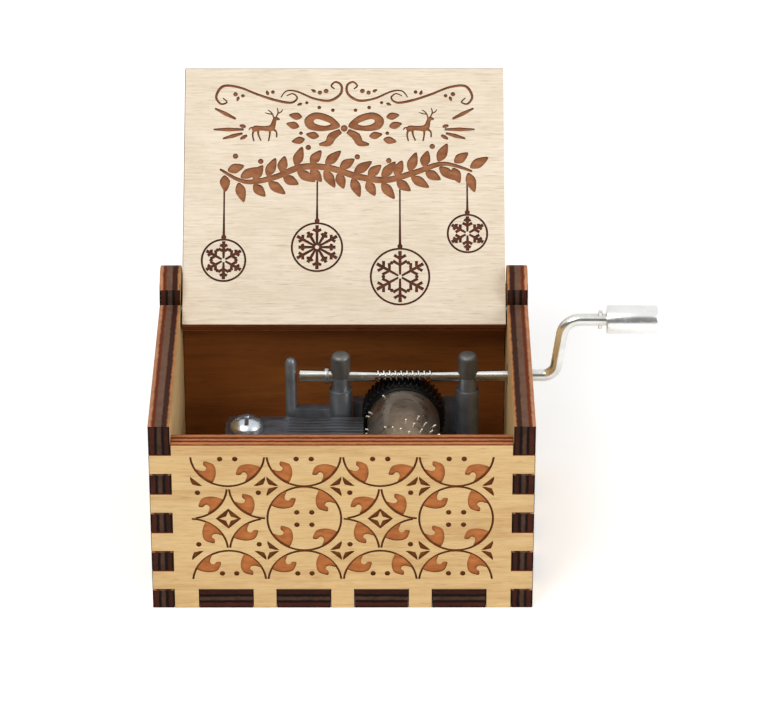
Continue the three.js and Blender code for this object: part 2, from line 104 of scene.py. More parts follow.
def merge_and_face_out(piece, distance=1e-4):
    edit(
        piece,
        lambda: bpy.ops.mesh.remove_doubles(threshold=distance),
        lambda: bpy.ops.mesh.normals_make_consistent(inside=False),
    )


def modify(piece, kind, **settings):
    """Adds a modifier and applies it."""
    choose(piece)
    modifier = piece.modifiers.new(kind.title(), kind)
    for name, value in settings.items():
        setattr(modifier, name, value)
    bpy.ops.object.modifier_apply(modifier=modifier.name)


def bevel(piece, width, segments=2, angle=35):
    modify(piece, "BEVEL", width=width, segments=segments, limit_method="ANGLE",
           angle_limit=math.radians(angle), use_clamp_overlap=True, harden_normals=False)


def cut(piece, tool):
    modify(piece, "BOOLEAN", operation="DIFFERENCE", solver="EXACT", object=tool,
           material_mode="TRANSFER")
    bpy.data.objects.remove(tool)


def join(*pieces):
    choose(pieces[0])
    for piece in pieces[1:]:
        piece.select_set(True)
    bpy.ops.object.join()
    return pieces[0]


def place(piece, matrix):
    """Moves a piece's mesh, not its object."""
    piece.data.transform(matrix)
    if matrix.is_negative:
        piece.data.flip_normals()


def smooth(piece, angle=35):
    choose(piece)
    bpy.ops.object.shade_smooth_by_angle(angle=math.radians(angle))


def copy_of(node):
    """A piece with the CAD node's shape, its loose triangles merged, in millimetres."""
    mesh = frame["nodes"][node].data.copy()
    mesh.transform(frame["nodes"][node].matrix_world)
    mesh.transform(Matrix.Scale(1 / MM, 4))
    mesh.materials.clear()
    piece = bpy.data.objects.new(node + "_fine", mesh)
    bpy.context.scene.collection.objects.link(piece)
    edit(
        piece,
        lambda: bpy.ops.mesh.remove_doubles(threshold=1e-3),
        lambda: bpy.ops.mesh.dissolve_limited(angle_limit=math.radians(0.5)),
    )
    return piece


def finish(piece, name, body, nodes, materials=None):
    """Names a modelled piece, scales its mesh to metres and fixes it to its body."""
    choose(piece)
    bpy.ops.object.transform_apply(location=True, rotation=True, scale=True)
    piece.data.transform(Matrix.Scale(MM, 4))
    piece.name = name
    piece.data.name = name
    if materials:
        piece.data.materials.clear()
        for material in materials:
            piece.data.materials.append(material)
    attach(piece, body)
    if nodes:
        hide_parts(*nodes)
    return piece


def axes(x, y, origin):
    """Matrix that takes local X and Y to these directions and the origin to this point."""
    x, y = Vector(x).normalized(), Vector(y).normalized()
    z = x.cross(y)
    turn = Matrix((x, y, z)).transposed().to_4x4()
    return Matrix.Translation(origin) @ turn


ALONG_X = ((0, 1, 0), (0, 0, 1))  # a piece turned about Z is laid along X with these axes
ALONG_Y = ((0, 0, 1), (1, 0, 0))


def turned(profile, steps=64):
    """A turned piece about Z: its profile is a closed loop of (radius, height), spun once round."""
    deselect()
    bpy.ops.mesh.primitive_circle_add(vertices=len(profile), radius=1, fill_type="NOTHING")
    piece = bpy.context.object
    for vertex, (radius, height) in zip(piece.data.vertices, profile):
        vertex.co = (radius, 0, height)
    edit(piece, lambda: bpy.ops.mesh.spin(
        steps=steps, angle=2 * math.pi, center=(0, 0, 0), axis=(0, 0, 1)))
    merge_and_face_out(piece)
    return piece


def bar(radius, low, high, steps=48, chamfer=0.0):
    """A plain turned rod about Z, with chamfered ends if asked."""
    profile = [(0, low), (radius - chamfer, low), (radius, low + chamfer),
               (radius, high - chamfer), (radius - chamfer, high), (0, high)]
    if not chamfer:
        profile = [(0, low), (radius, low), (radius, high), (0, high)]
    return turned(profile, steps)


def block(low, high):
    deselect()
    low, high = Vector(low), Vector(high)
    bpy.ops.mesh.primitive_cube_add(size=1, location=(low + high) / 2)
    piece = bpy.context.object
    piece.scale = high - low
    bpy.ops.object.transform_apply(location=True, rotation=True, scale=True)
    return piece


# ---------- materials ----------

class Finish:
    """A node material with short calls for the nodes that these finishes share."""

    def __init__(self, name, **shader):
        self.material = bpy.data.materials.new(name)
        self.material.use_nodes = True
        self.tree = self.material.node_tree
        self.shader = self.tree.nodes["Principled BSDF"]
        for socket, value in shader.items():
            self.shader.inputs[socket.replace("_", " ")].default_value = value

    def node(self, kind, **inputs):
        node = self.tree.nodes.new("ShaderNode" + kind)
        for name, value in inputs.items():
            socket = node.inputs[name.replace("_", " ")]
            if isinstance(value, bpy.types.NodeSocket):
                self.tree.links.new(value, socket)
            else:
                socket.default_value = value
        return node

    def coordinates(self, scale, rotation=(0, 0, 0)):
        where = self.node("TexCoord").outputs["Object"]
        return self.node("Mapping", Vector=where, Scale=scale, Rotation=rotation).outputs[0]

    def noise(self, vector, scale=1.0, detail=4.0, roughness=0.55, distortion=0.0):
        return self.node("TexNoise", Vector=vector, Scale=scale, Detail=detail,
                         Roughness=roughness, Distortion=distortion).outputs[0]

    def ramp(self, factor, *stops):
        node = self.node("ValToRGB", Fac=factor)
        elements = node.color_ramp.elements
        for index, (position, color) in enumerate(stops):
            element = elements[index] if index < 2 else elements.new(position)
            element.position = position
            element.color = (*color, 1)
        return node.outputs[0]

    def mix(self, factor, first, second, blend="MIX"):
        node = self.tree.nodes.new("ShaderNodeMix")
        node.data_type = "RGBA"
        node.blend_type = blend
        for index, value in ((0, factor), (6, first), (7, second)):
            if isinstance(value, bpy.types.NodeSocket):
                self.tree.links.new(value, node.inputs[index])
            else:
                node.inputs[index].default_value = (*value, 1) if index else value
        return node.outputs[2]

    def spread(self, value, low, high, new_low, new_high):
        node = self.node("MapRange", Value=value)
        limits = {"From Min": low, "From Max": high, "To Min": new_low, "To Max": new_high}
        for name, number in limits.items():
            node.inputs[name].default_value = number
        return node.outputs[0]

    def set(self, socket, value):
        self.tree.links.new(value, self.shader.inputs[socket])

    def bump(self, height, distance, strength=1.0):
        node = self.node("Bump", Height=height)
        node.inputs["Distance"].default_value = distance
        node.inputs["Strength"].default_value = strength
        self.set("Normal", node.outputs[0])


def rgb(red, green, blue):
    """An sRGB colour as linear numbers."""
    def linear(value):
        value /= 255
        return value / 12.92 if value <= 0.04045 else ((value + 0.055) / 1.055) ** 2.4
    return tuple(linear(value) for value in (red, green, blue))


# Stretched coordinates per metre: the grain runs along the first axis named.
GRAIN_X = (1, 14, 14)
GRAIN_Y = (14, 1, 14)


def veneer(name, pale, mid, dark, grain=GRAIN_X, fleck=0.5, bands=1.0):
    """Bare sliced veneer: broad soft bands, fine streaks and short dark pores along the grain."""
    look = Finish(name, Roughness=0.62)
    look.shader.inputs["Specular IOR Level"].default_value = 0.3
    where = look.coordinates(grain)
    broad = look.noise(where, scale=22, detail=3, distortion=0.6)
    fine = look.noise(where, scale=190, detail=6, roughness=0.7)
    pores = look.noise(where, scale=330, detail=2)
    mottle = look.noise(look.coordinates((1, 1, 1)), scale=130, detail=4)
    base = look.ramp(broad, (0.36, dark), (0.64, pale), (0.47, mid))
    base = look.mix(1 - 0.45 * bands, base, pale)
    streak = look.ramp(fine, (0.35, (0.78, 0.72, 0.64)), (0.6, (1, 1, 1)))
    base = look.mix(0.6, base, streak, "MULTIPLY")
    pore = look.ramp(pores, (0.28, (0.62, 0.53, 0.42)), (0.4, (1, 1, 1)))
    base = look.mix(fleck, base, pore, "MULTIPLY")
    patch = look.ramp(mottle, (0.35, (0.93, 0.92, 0.9)), (0.62, (1, 1, 1)))
    base = look.mix(0.8, base, patch, "MULTIPLY")
    look.set("Base Color", base)
    look.set("Roughness", look.spread(fine, 0.3, 0.7, 0.72, 0.56))
    look.bump(look.mix(0.4, pores, fine), 0.00003, 0.55)
    return look.material


def cut_edge(name, *layers, mottle=0.5):
    """Laser-cut edge of plywood, as (from, to, colour) layers. "depth" runs 0 to 1 through the sheet."""
    look = Finish(name, Roughness=0.7)
    look.shader.inputs["Specular IOR Level"].default_value = 0.1
    attribute = look.node("Attribute")
    attribute.attribute_name = "depth"
    wobble = look.noise(look.coordinates((1, 1, 1)), scale=900, detail=3)
    shift = look.spread(wobble, 0, 1, -0.05, 0.05)
    add = look.tree.nodes.new("ShaderNodeMath")
    look.tree.links.new(attribute.outputs["Fac"], add.inputs[0])
    look.tree.links.new(shift, add.inputs[1])
    stops = [(at, color) for start, end, color in layers for at in (start, end)]
    tone = look.ramp(add.outputs[0], stops[0], stops[-1], *stops[1:-1])
    char = look.noise(look.coordinates((1, 1, 1)), scale=520, detail=5, roughness=0.65)
    burnt = look.ramp(char, (0.34, (0.45, 0.38, 0.34)), (0.62, (1, 1, 1)))
    look.set("Base Color", look.mix(mottle, tone, burnt, "MULTIPLY"))
    look.set("Roughness", look.spread(char, 0.3, 0.7, 0.55, 0.85))
    look.bump(char, 0.00005, 0.6)
    return look.material


def engraved(name, light, dark):
    """Floor or wall of a laser-engraved recess: browned wood with the scan lines' fine ribbing."""
    look = Finish(name, Roughness=0.75)
    look.shader.inputs["Specular IOR Level"].default_value = 0.2
    char = look.noise(look.coordinates((1, 2.5, 2.5)), scale=420, detail=5, roughness=0.6)
    scan = look.node("TexWave", Vector=look.coordinates((0, 1, 1)), Scale=2400, Distortion=1.5)
    tone = look.ramp(char, (0.33, dark), (0.66, light))
    ribs = look.ramp(scan.outputs[0], (0.0, (0.86, 0.84, 0.82)), (1.0, (1, 1, 1)))
    look.set("Base Color", look.mix(0.7, tone, ribs, "MULTIPLY"))
    look.bump(char, 0.00004, 0.6)
    return look.material


def metal(name, light, dark, rough, metallic=1.0, grain=(1, 1, 1), scale=400, bump=0.00001):
    """Metal with soft tarnish, fine wear in its gloss and a faint surface texture."""
    look = Finish(name, Metallic=metallic, Roughness=rough)
    wear = look.noise(look.coordinates(grain), scale=scale, detail=6, roughness=0.65)
    cloud = look.noise(look.coordinates((1, 1, 1)), scale=160, detail=3)
    tone = look.ramp(cloud, (0.32, dark), (0.62, light))
    look.set("Base Color", tone)
    look.set("Roughness", look.spread(wear, 0.3, 0.7, rough * 0.7, min(rough * 1.35, 1)))
    look.bump(wear, bump, 0.5)
    return look.material


def plastic(name, light, dark, rough):
    look = Finish(name, Roughness=rough)
    look.shader.inputs["Specular IOR Level"].default_value = 0.3
    grain = look.noise(look.coordinates((1, 1, 1)), scale=900, detail=4)
    look.set("Base Color", look.ramp(grain, (0.35, dark), (0.65, light)))
    look.set("Roughness", look.spread(grain, 0.3, 0.7, rough * 0.8, rough * 1.25))
    look.bump(grain, 0.00002, 0.4)
    return look.material


TAN_VENEER = veneer("case_veneer", rgb(203, 173, 124), rgb(195, 160, 107), rgb(173, 130, 76), fleck=0.6)
TAN_VENEER_Y = veneer("side_veneer", rgb(210, 180, 130), rgb(203, 167, 114), rgb(182, 139, 84), GRAIN_Y)
PALE_VENEER = veneer("lid_veneer", rgb(222, 209, 190), rgb(217, 202, 180), rgb(208, 191, 168),
                     fleck=0.5, bands=0.35)
# The inner veneer's dark brown is painted shade for the inside of the box, not the wood's own colour.
SHADED_INNER_VENEER = veneer("inner_veneer_painted_shade", rgb(150, 88, 34), rgb(126, 66, 20), rgb(90, 42, 10), fleck=0.6)
DARK_EDGE = cut_edge(
    "burnt_finger_edge",
    (0, 0.05, rgb(26, 10, 6)), (0.1, 0.27, rgb(66, 30, 18)), (0.31, 0.39, rgb(18, 7, 4)),
    (0.45, 0.58, rgb(72, 50, 38)), (0.64, 0.72, rgb(16, 6, 4)), (0.78, 0.92, rgb(54, 24, 14)),
    (0.97, 1, rgb(20, 8, 5)), mottle=0.8)
WARM_EDGE = cut_edge(
    "browned_top_edge",
    (0, 0.04, rgb(110, 52, 28)), (0.1, 0.26, rgb(184, 118, 74)), (0.31, 0.39, rgb(88, 32, 14)),
    (0.45, 0.56, rgb(186, 118, 76)), (0.61, 0.71, rgb(86, 32, 14)), (0.78, 0.94, rgb(180, 112, 70)),
    (0.98, 1, rgb(100, 46, 24)), mottle=0.4)
SIDE_EDGE = cut_edge(
    "side_top_edge",
    (0, 0.13, rgb(184, 132, 98)), (0.2, 0.3, rgb(104, 44, 22)), (0.37, 0.6, rgb(108, 80, 64)),
    (0.66, 0.85, rgb(58, 30, 20)), (0.93, 1, rgb(178, 122, 76)), mottle=0.5)
# The rim colours are the engraved lines' own darker brown. On the recess walls they are painted shade.
LEAF_BROWN = engraved("engraving_tan", rgb(182, 112, 58), rgb(152, 86, 42))
LINE_AND_WALL_SHADE_BROWN = engraved("engraving_rim", rgb(128, 72, 28), rgb(96, 48, 18))
LID_BROWN = engraved("lid_engraving", rgb(164, 110, 74), rgb(132, 80, 50))
LID_LINE_AND_WALL_SHADE = engraved("lid_engraving_rim", rgb(104, 58, 38), rgb(76, 38, 26))
BRIGHT_WIRE = metal("plated_wire", rgb(222, 222, 218), rgb(196, 196, 190), 0.22)
KNOB_CHROME = metal("knob_plating", rgb(236, 236, 234), rgb(220, 220, 218), 0.24)
BRIGHT_SCREW = metal("screw_plating", rgb(216, 221, 226), rgb(180, 187, 194), 0.3)
PIN_BRIGHT = metal("note_pin_steel", rgb(236, 230, 216), rgb(222, 214, 198), 0.3)
PIN_STEEL = metal("pin_steel", rgb(170, 170, 168), rgb(140, 140, 138), 0.32)
ZINC = metal("zinc_casting", rgb(134, 139, 146), rgb(98, 103, 110), 0.42, 0.8, scale=900, bump=0.00004)
PALE_ZINC = metal("cap_zinc", rgb(112, 111, 108), rgb(84, 83, 80), 0.5, 0.8, scale=900, bump=0.00003)
COMB_STEEL = metal("comb_steel", rgb(122, 124, 128), rgb(98, 100, 105), 0.42, 0.9, (1, 5, 1), 240)
DRUM_METAL = metal("drum_plating", rgb(176, 164, 150), rgb(150, 139, 126), 0.3, 0.95, (1, 3, 1), 300,
                   0.000003)
BLACK = plastic("black_plastic", rgb(15, 15, 16), rgb(7, 7, 8), 0.34)


# ---------- flat ornament: a shape is a list of closed outlines, its edge and then its holes ----------

LAYER_STEP = 0.012  # each layer of an engraving is this much shallower than the one before

def arc(centre, radius, start, end, steps=16):
    """Points along an arc; angles in degrees."""
    angles = [math.radians(start + (end - start) * i / steps) for i in range(steps + 1)]
    return [(centre[0] + radius * math.cos(a), centre[1] + radius * math.sin(a)) for a in angles]


def arc_line(centre, radius, start, end, width, steps=20):
    """A line of even width along an arc."""
    outer = arc(centre, radius + width / 2, start, end, steps)
    inner = arc(centre, radius - width / 2, end, start, steps)
    return [[outer + inner]]


def ring(centre, radius, width, steps=56):
    outer = arc(centre, radius + width / 2, 0, 360, steps)[:-1]
    inner = arc(centre, radius - width / 2, 0, 360, steps)[:-1]
    return [[outer, inner]]


def disc(centre, radius, steps=14):
    return [[arc(centre, radius, 0, 360, steps)[:-1]]]


def flowing(points, closed=False, steps=6):
    """A smooth curve through the points (Catmull-Rom)."""
    count = len(points)
    result = []
    for i in range(count if closed else count - 1):
        if closed:
            corners = [points[(i + k - 1) % count] for k in range(4)]
        else:
            corners = [points[min(max(i + k - 1, 0), count - 1)] for k in range(4)]
        for step in range(steps):
            t = step / steps
            weights = (
                (-t + 2 * t * t - t ** 3) / 2, (2 - 5 * t * t + 3 * t ** 3) / 2,
                (t + 4 * t * t - 3 * t ** 3) / 2, (t ** 3 - t * t) / 2,
            )
            result.append(tuple(sum(w * c[axis] for w, c in zip(weights, corners)) for axis in (0, 1)))
    if not closed:
        result.append(tuple(points[-1]))
    return result


def stroke(points, widths, steps=6):
    """A pen stroke along a smooth curve. `widths` are spread evenly along it."""
    line = flowing(points, steps=steps)
    left, right = [], []
    for i, (x, y) in enumerate(line):
        before, after = line[max(i - 1, 0)], line[min(i + 1, len(line) - 1)]
        dx, dy = after[0] - before[0], after[1] - before[1]
        length = math.hypot(dx, dy) or 1
        at = i / (len(line) - 1) * (len(widths) - 1)
        low = min(int(at), len(widths) - 2)
        half = (widths[low] + (widths[low + 1] - widths[low]) * (at - low)) / 2
        left.append((x - dy / length * half, y + dx / length * half))
        right.append((x + dy / length * half, y - dx / length * half))
    return [[left + right[::-1]]]


def moved(shapes, x=0.0, y=0.0, turn=0.0, scale=1.0, mirror=False):
    cosine, sine = math.cos(math.radians(turn)), math.sin(math.radians(turn))
    side = -1 if mirror else 1
    return [[[
        (x + scale * (side * px * cosine - py * sine), y + scale * (side * px * sine + py * cosine))
        for px, py in outline
    ] for outline in shape] for shape in shapes]


def reach_of(shape):
    across, up = zip(*shape[0])
    return min(across), min(up), max(across), max(up)


def layers(shapes):
    """Sorts shapes into layers inside which no two overlap."""
    result = []
    for shape in shapes:
        left, low, right, high = reach_of(shape)
        for layer in result:
            if all(right < a or c < left or high < b or d < low for a, b, c, d in map(reach_of, layer)):
                layer.append(shape)
                break
        else:
            result.append([shape])
    return result


def engrave(panel, shapes, depth, matrix, slot):
    """Cuts shapes into a panel's face, a layer at a time, each a little shallower than the last."""
    for number, layer in enumerate(layers(shapes)):
        engrave_layer(panel, layer, depth - LAYER_STEP * number, matrix, slot)


def engrave_layer(panel, shapes, depth, matrix, slot):
    """Cuts shapes that don't overlap. Their faces get the panel's material number `slot`."""
    curve = bpy.data.curves.new("cutter", "CURVE")
    curve.dimensions = "2D"
    curve.fill_mode = "BOTH"
    curve.extrude = depth
    for outline in (outline for shape in shapes for outline in shape):
        spline = curve.splines.new("POLY")
        spline.points.add(len(outline) - 1)
        for point, (x, y) in zip(spline.points, outline):
            point.co = (x, y, 0, 1)
        spline.use_cyclic_u = True
    tool = bpy.data.objects.new("cutter", curve)
    bpy.context.scene.collection.objects.link(tool)
    choose(tool)
    bpy.ops.object.convert(target="MESH")
    merge_and_face_out(tool)
    tool.data.materials.clear()
    for material in panel.data.materials:
        tool.data.materials.append(material)
    for face in tool.data.polygons:
        face.material_index = slot
    place(tool, matrix)
    cut(panel, tool)


# ---------- the case's lattice of rings, leaves and stars ----------

CELL = 12.65  # from one column of rings to the next
ROW = 12.4
RING_R = 6.15
LINE = 0.36
LATTICE_Z = 17.5  # height of the middle row
CROP = 0.6  # the top and bottom rows' rings stop this far short of their centres
DOT_R = 0.46
EDGE_DOTS = ((1.25, ROW - 0.95), (1.2, 1.7 - ROW))  # in the cropped rings of the top and bottom rows
RING_DOT = (1.25, 1.2)
CORNER_DOT = (5.05, 5.0)  # outside a diamond's arcs
# (side, up, first angle, last angle) of the four arcs round a diamond
DIAMOND_ARCS = ((-1, 1, 278, 355), (1, 1, 185, 268), (-1, -1, 5, 88), (1, -1, 98, 175))

# One hooked leaf, as (angle, radius) about its ring's centre. It hangs inside the ring's line.
LEAF = ((-25, 6.06), (-25.5, 4.6), (-34, 3.5), (-50, 3.05), (-64, 3.5), (-70, 4.15), (-62, 4.5),
        (-54, 4.35), (-50, 4.75), (-53, 5.35), (-61, 6.0),
        (-55, 6.12), (-45, 6.14), (-34, 6.12))


def leaf(centre, quarter):
    """A leaf in one quarter of a ring: 0 is upper right, counted anticlockwise."""
    turn = 90 * (quarter + 1)
    corners = [(r * math.cos(math.radians(a + turn)), r * math.sin(math.radians(a + turn))) for a, r in LEAF]
    return moved([[flowing(corners, closed=True, steps=4)]], *centre)


def star_corner(centre, side, up):
    """One of the four brown corners that leave a pale four-pointed star between them."""
    corners = ((0.1, 1.9), (2.1, 0.1), (1.45, 0.1), (0.42, 0.38), (0.1, 1.3))
    return [[[(centre[0] + side * x, centre[1] + up * y) for x, y in corners]]]


def whole_star(centre):
    rim = [(0, 1.95), (2.15, 0), (0, -1.95), (-2.15, 0)]
    star = [(0, 1.4), (0.4, 0.38), (1.55, 0), (0.4, -0.38),
            (0, -1.4), (-0.4, -0.38), (-1.55, 0), (-0.4, 0.38)]
    return moved([[rim, star]], *centre)


def lattice(columns):
    """(rings and dots, arcs, leaves) of a panel's ornament, about the middle of its middle row.
    Diamonds and rings take turns along it, and the first column is a diamond."""
    rings, arcs, leaves = [], [], []
    crop = math.degrees(math.asin(CROP / RING_R))
    half = (columns - 1) / 2
    is_diamond = [column % 2 == 0 for column in range(columns)]
    for column in range(columns):
        x = (column - half) * CELL
        arcs += arc_line((x, ROW), RING_R, 180 + crop, 360 - crop, LINE)
        arcs += arc_line((x, -ROW), RING_R, crop, 180 - crop, LINE)
        leaves += leaf((x, ROW), 2) + leaf((x, ROW), 3) + leaf((x, -ROW), 0) + leaf((x, -ROW), 1)
        for side in (-1, 1):
            for across, up in EDGE_DOTS:
                rings += disc((x + side * across, up), DOT_R)
        if is_diamond[column]:
            rings += whole_star((x, 0))
            for side, up, start, end in DIAMOND_ARCS:
                corner = (x + side * CELL / 2, up * ROW / 2)
                arcs += arc_line(corner, RING_R, start, end, LINE)
                leaves += leaf(corner, start // 90)
                rings += disc((x + side * CORNER_DOT[0], up * CORNER_DOT[1]), DOT_R)
        else:
            rings += ring((x, 0), RING_R, LINE)
            for quarter in range(4):
                leaves += leaf((x, 0), quarter)
            for side in (-1, 1):
                for up in (-1, 1):
                    rings += disc((x + side * RING_DOT[0], up * RING_DOT[1]), DOT_R)
    for edge in range(columns + 1):
        x = (edge - half - 0.5) * CELL
        for side, column in ((-1, edge - 1), (1, edge)):
            if 0 <= column < columns:
                for row in (-1, 1):
                    rings += star_corner((x, row * ROW / 2), side, row)
                    if not is_diamond[column]:
                        rings += star_corner((x, row * ROW / 2), side, -row)
    return rings, arcs, leaves


# ---------- the lid's ornament, drawn from the middle of its hinge edge ----------

LID_OVERHANG = 3.2  # from the hinge axis to the lid's hinge edge
LID_LEAN = math.radians(45)

SCROLL = ((-21.4, 41.9), (-20.7, 41.1), (-21.8, 40.8), (-22.6, 42.2), (-21.4, 44.1), (-18.6, 43.9),
          (-15.4, 42.6), (-12.2, 41.5), (-9.4, 41.0), (-8.3, 41.9), (-9.1, 42.7), (-10.2, 42.3))
SCROLL_INNER = ((-11.2, 42.0), (-10.2, 43.2), (-8.3, 43.1), (-5.4, 41.8), (-2.6, 41.4), (-0.7, 42.6),
                (-0.5, 44.2), (-1.5, 44.9), (-2.3, 44.2), (-1.7, 43.6))


def both_sides(outlines):
    return outlines + moved(outlines, mirror=True)


def small_leaf(x, y, turn, length=1.5, width=0.62):
    """An almond-shaped leaf that grows from a point."""
    half = width / 2
    corners = [(0, 0), (length * 0.3, half), (length * 0.62, half * 0.9), (length, 0),
               (length * 0.62, -half * 0.9), (length * 0.3, -half)]
    return moved([[flowing(corners, closed=True, steps=3)]], x, y, turn)


def scrollwork():
    lines = both_sides(stroke(SCROLL, (0.2, 0.34, 0.5, 0.42, 0.5, 0.3, 0.2)))
    inner = both_sides(stroke(SCROLL_INNER, (0.2, 0.36, 0.5, 0.4, 0.24)))
    sprigs = []
    for x, y, size in ((-19.2, 42.6, 0.42), (-17.9, 42.3, 0.34), (-12.6, 43.0, 0.34), (-6.6, 41.0, 0.3),
                       (-4.3, 42.9, 0.4), (-3.2, 43.2, 0.44)):
        sprigs += disc((x, y), size, 10)
    for x, y, turn in ((-13.4, 42.4, 110), (-7.4, 40.9, 200), (-5.0, 43.0, 150), (-18.6, 42.2, 250)):
        sprigs += small_leaf(x, y, turn, 1.0, 0.55)
    return lines + inner + both_sides(sprigs)


# (direction, where it starts, where it ends) of each stroke, from the middle of the fan
RAYS = ((152, 4.2, 8.4), (166, 2.0, 3.1), (180, 2.3, 7.6), (196, 2.6, 6.2), (212, 2.0, 3.4))


def rays():
    """Five tapering strokes that fan out at each side."""
    marks = []
    for turn, near, far in RAYS:
        a = math.radians(turn)
        ends = [(r * math.cos(a), r * math.sin(a)) for r in (near, (near + far) / 2, far)]
        marks += stroke(ends, (0.4, 0.74, 0.3), steps=3)
    return both_sides(moved(marks, x=-15.4, y=36.0))


def deer(x, y, size):
    """A small standing deer that looks to the right."""
    body = [(-2.5, 1.5), (-1.9, 2.05), (-0.4, 1.95), (0.9, 2.1), (1.35, 2.8), (1.7, 3.7), (2.35, 3.85),
            (2.95, 3.45), (2.8, 3.15), (2.3, 3.05), (2.15, 2.1), (1.85, 1.1), (0.9, 0.85), (-0.8, 1.0),
            (-1.9, 0.75), (-2.4, 0.95)]
    limbs = stroke(((-2.0, 1.2), (-2.35, 0.2), (-2.1, -1.2)), (0.6, 0.34, 0.3), 3)
    limbs += stroke(((-1.3, 1.2), (-1.2, 0.1), (-0.7, -1.1)), (0.6, 0.34, 0.3), 3)
    limbs += stroke(((1.0, 1.2), (1.0, 0.1), (0.75, -1.2)), (0.56, 0.34, 0.3), 3)
    limbs += stroke(((1.6, 1.3), (2.3, 0.7), (2.35, -0.4)), (0.56, 0.34, 0.3), 3)
    limbs += stroke(((-2.4, 1.6), (-2.85, 1.5), (-3.1, 1.1)), (0.4, 0.3, 0.16), 2)
    antlers = stroke(((1.75, 3.6), (1.4, 4.6), (0.6, 5.3)), (0.26, 0.3, 0.16), 3)
    antlers += stroke(((2.15, 3.7), (2.6, 4.7), (2.4, 5.7)), (0.26, 0.3, 0.16), 3)
    tines = stroke(((1.45, 4.4), (0.7, 4.5), (0.0, 4.75)), (0.24, 0.24, 0.14), 2)
    tines += stroke(((2.5, 4.5), (3.2, 4.9), (3.5, 5.4)), (0.24, 0.24, 0.14), 2)
    return moved([[flowing(body, closed=True, steps=3)]] + limbs + antlers + tines, x, y, scale=size)


def bow():
    """The centre ornament under the scrolls: a ribbon bow with leaves and berries."""
    loop = [(0.7, 0.3), (2.4, 2.3), (5.2, 3.0), (7.0, 1.7), (6.3, -0.1), (3.6, -0.5)]
    hollow = [(2.4, 0.8), (3.4, 1.35), (4.8, 1.75), (5.4, 1.35), (4.9, 0.8), (3.5, 0.5)]
    loops = [[flowing(loop, closed=True, steps=4), flowing(hollow, closed=True, steps=4)]]
    tails = stroke(((0.6, -0.5), (2.1, -1.5), (2.8, -2.7), (4.4, -3.0)), (0.9, 1.6, 1.35, 0.4), 4)
    sprig = []
    for x, y, turn in ((4.4, -1.5, 10), (6.9, -2.0, -12), (7.9, 0.3, 15), (7.4, 2.1, 10)):
        sprig += small_leaf(x, y, turn, 2.4, 1.3)
    for x, y in ((7.6, -0.9), (4.4, 3.9), (2.0, 3.4)):
        sprig += disc((x, y), 0.34, 10)
    knot = disc((0, 0), 0.62, 20)
    return moved(both_sides(loops + tails + sprig) + knot, y=36.2)


STEM = ((-21.8, 28.6), (-17.5, 26.3), (-12.5, 27.0), (-7.5, 29.0), (-2.5, 28.8), (2.5, 27.2), (7.5, 26.6),
        (12.5, 28.0), (17.5, 29.6), (22.5, 28.2))


def garland():
    """The wide garland that the baubles hang from."""
    shapes = stroke(STEM, (0.4, 1.0, 1.2, 1.2, 1.2, 1.0, 0.4))
    line = flowing(STEM, steps=8)
    spacing = 4
    for i in range(2, len(line) - 2, spacing):
        (x, y), (ahead_x, ahead_y) = line[i], line[i + 1]
        way = math.degrees(math.atan2(ahead_y - y, ahead_x - x))
        for side in (-1, 1):
            turn = way + side * 52
            a = math.radians(turn)
            root = (x + 0.62 * math.cos(a), y + 0.62 * math.sin(a))
            length = 3.8 if (i // spacing) % 2 else 3.1
            shapes += small_leaf(*root, turn, length, 1.7)
        if (i // spacing) % 3 == 0:
            a = math.radians(way + 90)
            shapes += disc((x + 3.5 * math.cos(a), y + 3.5 * math.sin(a)), 0.5, 10)
    return shapes


# (x, y, radius, kind of crystal) of each bauble
BAUBLES = ((-21.0, 11.8, 3.8, 0), (-4.7, 14.2, 4.4, 1), (9.8, 8.8, 5.1, 2), (21.6, 16.7, 3.45, 3))


def bauble(x, y, radius, kind):
    """A bauble on its string, with a snow crystal of its own."""
    shapes = ring((x, y), radius, 0.36)
    shapes += stroke(((x, y + radius + 0.1), (x, (y + radius + 26.4) / 2), (x, 26.4)), (0.5, 0.3, 0.3), 3)
    shapes += disc((x, y + radius + 0.45), 0.46, 12)
    reach = radius * 0.92
    arms = 12 if kind == 1 else 6
    for arm in range(arms):
        turn = 90 + 360 / arms * arm
        tip = reach if arm % 2 == 0 or kind != 1 else reach * 0.8
        shapes += moved(stroke(((0.35, 0), (tip / 2, 0), (tip, 0)), (0.36, 0.5, 0.62), 2), x, y, turn)
        for place_at, length in ((0.45, 0.26), (0.7, 0.22 if kind == 2 else 0.18)):
            if kind == 1 and place_at < 0.5:
                continue
            for side in (-1, 1):
                start = (tip * place_at, 0)
                end = (tip * (place_at + length * 0.62), side * tip * length)
                middle = ((start[0] + end[0]) / 2, (start[1] + end[1]) / 2)
                shapes += moved(stroke((start, middle, end), (0.4, 0.5, 0.56), 2), x, y, turn)
        if kind in (0, 2):
            between = turn + 180 / arms
            shapes += moved(disc((reach * 0.62, 0), 0.34, 8), x, y, between)
    return shapes


# ---------- wooden panels ----------

# RIM holds the engraved lines' darker colour, which also paints shade onto the recess walls.
OUTER, EDGE, FLOOR, RIM, INNER, TOP = range(6)
ENGRAVING_DEPTH = 0.32
PANEL_BEVEL = 0.1


def paint_panel(panel, materials, outward):
    """Gives a panel its materials by the way each face looks. A material used twice is copied,
    because a boolean merges slots that hold the same one."""
    for number, material in enumerate(materials):
        panel.data.materials.append(material.copy() if material in materials[:number] else material)
    outward = Vector(outward)
    for face in panel.data.polygons:
        facing = face.normal.dot(outward)
        if facing > 0.95:
            face.material_index = OUTER
        elif facing < -0.95:
            face.material_index = INNER
        elif face.normal.z > 0.5:
            face.material_index = TOP
        else:
            face.material_index = EDGE


